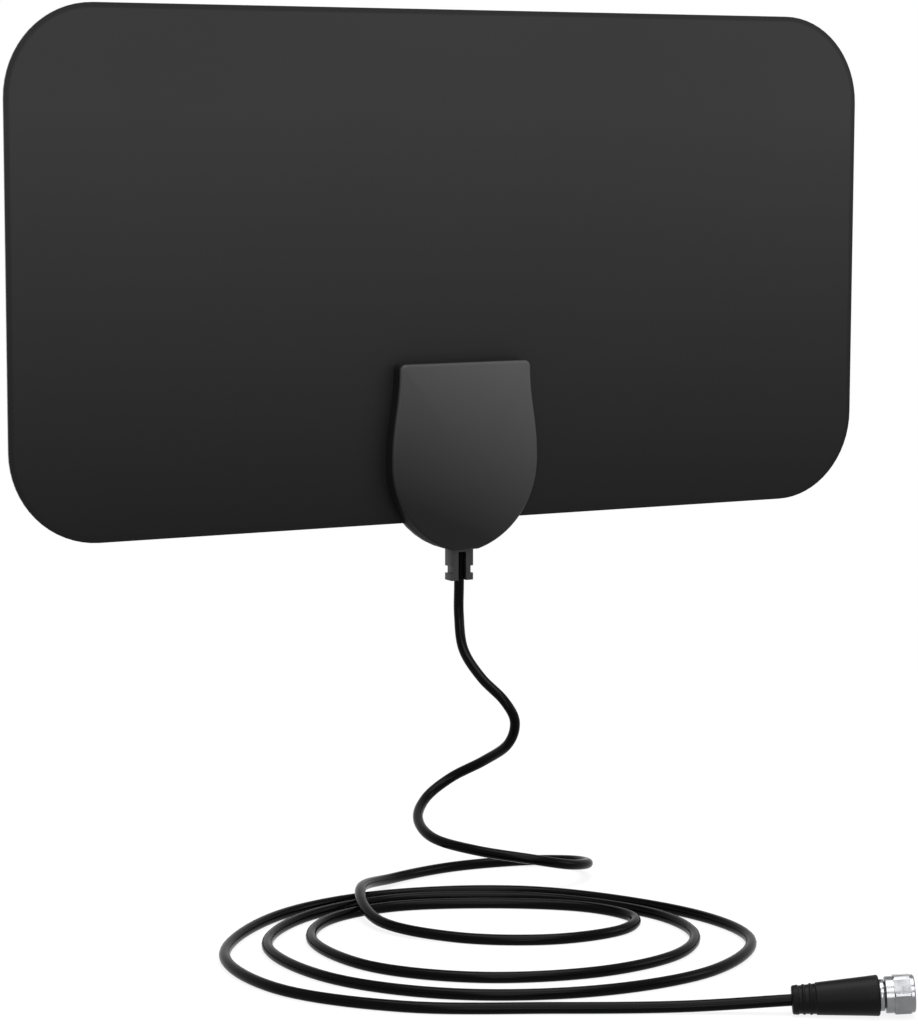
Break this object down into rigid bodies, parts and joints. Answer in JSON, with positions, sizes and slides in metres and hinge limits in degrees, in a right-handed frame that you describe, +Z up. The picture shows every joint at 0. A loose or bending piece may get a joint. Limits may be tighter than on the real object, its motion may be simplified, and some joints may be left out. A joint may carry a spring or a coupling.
{
  "type": "indoor tv antenna",
  "caption": "Flat dark grey leaf antenna with rounded corners, a crowned clip housing on its lower edge and a thin black coaxial lead ending in a screw-on F plug",
  "frame": {"origin": "on the flat back of the housing where it is stuck to the wall, at the height of the housing's widest place", "axes": "X to the right along the leaf's width, Y back towards the wall, Z up"},
  "size_m": [0.33, 0.252, 0.2925],
  "materials": {
    "film": "satin",
    "bond": "matte",
    "foil": "satin",
    "housing": "satin",
    "board": "satin",
    "ferrite": "matte",
    "copper": "satin",
    "ceramic": "matte",
    "gold": "polished",
    "steel": "satin",
    "insulation": "satin",
    "relief": "satin",
    "jacket": "satin",
    "boot": "satin",
    "plating": "polished"
  },
  "bodies": {
    "antenna": {"back_film": "film", "bond_film": "bond", "element_left": "foil", "element_right": "foil", "front_film": "film", "back_cover": "housing", "front_cover": "housing", "circuit_board": "board", "transformer_core": "ferrite", "transformer_winding": "copper", "capacitor_left": "ceramic", "capacitor_right": "ceramic", "contact_left": "gold", "contact_right": "gold", "cable_clamp": "steel", "cable_core": "insulation", "braid_tail": "copper", "strain_relief": "relief", "cable": "jacket", "connector_boot": "boot", "crimp_ferrule": "plating", "connector_body": "plating", "insulator": "insulation", "centre_pin": "gold"},
    "nut": {"coupling_nut": "plating"}
  },
  "joints": [
    {"name": "nut_spin", "type": "hinge", "parent": "antenna", "child": "nut", "pos_m": [-0.0145, -0.2293, -0.1358], "axis": [0.8551, -0.5138, 0.0698], "continuous": true}
  ]
}
